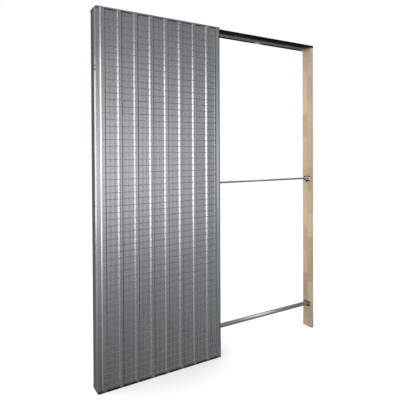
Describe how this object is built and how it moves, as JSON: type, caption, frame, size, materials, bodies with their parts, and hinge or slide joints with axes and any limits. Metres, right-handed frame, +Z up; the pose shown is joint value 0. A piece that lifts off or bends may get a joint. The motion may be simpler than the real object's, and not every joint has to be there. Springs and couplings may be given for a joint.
{
  "type": "sliding pocket door frame kit",
  "caption": "Ribbed steel door cassette with plaster mesh, black track header, timber strike jamb, removable spacer bars and roller carriages that carry a sliding door.",
  "frame": {"origin": "middle of the footprint, on the floor", "axes": "+Z up; +X from the closed end of the cassette towards the strike jamb; -Y is the front face"},
  "size_m": [1.694, 0.112, 2.185],
  "materials": {
    "galvanised_sheet": "galvanised, satin with faint spangle",
    "galvanised_wire": "galvanised wire, dull",
    "bright_zinc": "bright zinc plate",
    "black_paint": "satin black paint",
    "mill_aluminium": "mill finish extrusion",
    "jointed_timber": "planed finger-jointed softwood",
    "white_nylon": "moulded nylon",
    "black_rubber": "matt"
  },
  "bodies": {
    "root": {"cassette_base_plate": "black_paint", "cassette_end_post": "galvanised_sheet", "cassette_top_channel": "galvanised_sheet", "floor_guide": "white_nylon", "front_mouth_post": "galvanised_sheet", "front_plaster_mesh": "galvanised_wire", "front_ribbed_panel": "galvanised_sheet", "header_channel": "black_paint", "header_screw_front": "bright_zinc", "header_screw_rear": "bright_zinc", "header_splice_plate": "bright_zinc", "jamb_track_stop": "black_rubber", "low_bar_jamb_bracket": "bright_zinc", "low_bracket_screw": "bright_zinc", "mid_bar_jamb_bracket": "bright_zinc", "mid_bracket_screw": "bright_zinc", "pocket_buffer": "black_rubber", "pocket_track_stop": "black_rubber", "rear_mouth_post": "galvanised_sheet", "rear_plaster_mesh": "galvanised_wire", "rear_ribbed_panel": "galvanised_sheet", "sliding_track": "mill_aluminium", "splice_screw": "bright_zinc", "strike_jamb": "jointed_timber", "track_clip_jamb": "bright_zinc", "track_clip_middle": "bright_zinc", "track_hanger_1": "bright_zinc", "track_hanger_2": "bright_zinc", "track_hanger_3": "bright_zinc"},
    "front_carriage": {"front_carriage_body": "bright_zinc", "front_lead_axle": "bright_zinc", "front_trail_axle": "bright_zinc"},
    "front_hanger": {"front_hanger_bolt": "bright_zinc", "front_lock_nut": "bright_zinc", "front_hanger_plate": "bright_zinc"},
    "rear_carriage": {"rear_carriage_body": "bright_zinc", "rear_lead_axle": "bright_zinc", "rear_trail_axle": "bright_zinc"},
    "rear_hanger": {"rear_hanger_bolt": "bright_zinc", "rear_lock_nut": "bright_zinc", "rear_hanger_plate": "bright_zinc"},
    "front_lead_wheel_near_body": {"front_lead_wheel_near": "white_nylon"},
    "front_lead_wheel_far_body": {"front_lead_wheel_far": "white_nylon"},
    "front_trail_wheel_near_body": {"front_trail_wheel_near": "white_nylon"},
    "front_trail_wheel_far_body": {"front_trail_wheel_far": "white_nylon"},
    "rear_lead_wheel_near_body": {"rear_lead_wheel_near": "white_nylon"},
    "rear_lead_wheel_far_body": {"rear_lead_wheel_far": "white_nylon"},
    "rear_trail_wheel_near_body": {"rear_trail_wheel_near": "white_nylon"},
    "rear_trail_wheel_far_body": {"rear_trail_wheel_far": "white_nylon"},
    "mid_bar": {"mid_spacer_bar": "galvanised_sheet", "mid_bar_mouth_plate": "galvanised_sheet", "mid_bar_mouth_screw": "bright_zinc", "mid_bar_jamb_screw": "bright_zinc"},
    "low_bar": {"low_spacer_bar": "galvanised_sheet", "low_bar_mouth_plate": "galvanised_sheet", "low_bar_mouth_screw": "bright_zinc", "low_bar_jamb_screw": "bright_zinc"}
  },
  "joints": [
    {"name": "front_carriage_travel", "type": "slide", "parent": "root", "child": "front_carriage", "axis": [1, 0, 0], "range_m": [0, 0.775]},
    {"name": "rear_carriage_travel", "type": "slide", "parent": "root", "child": "rear_carriage", "axis": [1, 0, 0], "range_m": [0, 0.775]},
    {"name": "front_height_adjust", "type": "slide", "parent": "front_carriage", "child": "front_hanger", "axis": [0, 0, 1], "range_m": [-0.005, 0.005]},
    {"name": "front_lead_wheel_near_spin", "type": "hinge", "parent": "front_carriage", "child": "front_lead_wheel_near_body", "pos_m": [-0.051, -0.009, 2.1617], "axis": [0, 1, 0], "continuous": true},
    {"name": "front_lead_wheel_far_spin", "type": "hinge", "parent": "front_carriage", "child": "front_lead_wheel_far_body", "pos_m": [-0.051, 0.009, 2.1617], "axis": [0, 1, 0], "continuous": true},
    {"name": "front_trail_wheel_near_spin", "type": "hinge", "parent": "front_carriage", "child": "front_trail_wheel_near_body", "pos_m": [-0.095, -0.009, 2.1617], "axis": [0, 1, 0], "continuous": true},
    {"name": "front_trail_wheel_far_spin", "type": "hinge", "parent": "front_carriage", "child": "front_trail_wheel_far_body", "pos_m": [-0.095, 0.009, 2.1617], "axis": [0, 1, 0], "continuous": true},
    {"name": "rear_height_adjust", "type": "slide", "parent": "rear_carriage", "child": "rear_hanger", "axis": [0, 0, 1], "range_m": [-0.005, 0.005]},
    {"name": "rear_lead_wheel_near_spin", "type": "hinge", "parent": "rear_carriage", "child": "rear_lead_wheel_near_body", "pos_m": [-0.691, -0.009, 2.1617], "axis": [0, 1, 0], "continuous": true},
    {"name": "rear_lead_wheel_far_spin", "type": "hinge", "parent": "rear_carriage", "child": "rear_lead_wheel_far_body", "pos_m": [-0.691, 0.009, 2.1617], "axis": [0, 1, 0], "continuous": true},
    {"name": "rear_trail_wheel_near_spin", "type": "hinge", "parent": "rear_carriage", "child": "rear_trail_wheel_near_body", "pos_m": [-0.735, -0.009, 2.1617], "axis": [0, 1, 0], "continuous": true},
    {"name": "rear_trail_wheel_far_spin", "type": "hinge", "parent": "rear_carriage", "child": "rear_trail_wheel_far_body", "pos_m": [-0.735, 0.009, 2.1617], "axis": [0, 1, 0], "continuous": true},
    {"name": "mid_bar_lift_out", "type": "slide", "parent": "root", "child": "mid_bar", "axis": [0, 0, 1], "range_m": [0, 0.06]},
    {"name": "low_bar_lift_out", "type": "slide", "parent": "root", "child": "low_bar", "axis": [0, 0, 1], "range_m": [0, 0.06]}
  ],
  "couplings": [
    {"joint": "rear_carriage_travel", "follows": "front_carriage_travel", "ratio": 1},
    {"joint": "front_lead_wheel_near_spin", "follows": "front_carriage_travel", "rad_per_m": 111.11},
    {"joint": "front_lead_wheel_far_spin", "follows": "front_carriage_travel", "rad_per_m": 111.11},
    {"joint": "front_trail_wheel_near_spin", "follows": "front_carriage_travel", "rad_per_m": 111.11},
    {"joint": "front_trail_wheel_far_spin", "follows": "front_carriage_travel", "rad_per_m": 111.11},
    {"joint": "rear_lead_wheel_near_spin", "follows": "front_carriage_travel", "rad_per_m": 111.11},
    {"joint": "rear_lead_wheel_far_spin", "follows": "front_carriage_travel", "rad_per_m": 111.11},
    {"joint": "rear_trail_wheel_near_spin", "follows": "front_carriage_travel", "rad_per_m": 111.11},
    {"joint": "rear_trail_wheel_far_spin", "follows": "front_carriage_travel", "rad_per_m": 111.11}
  ]
}
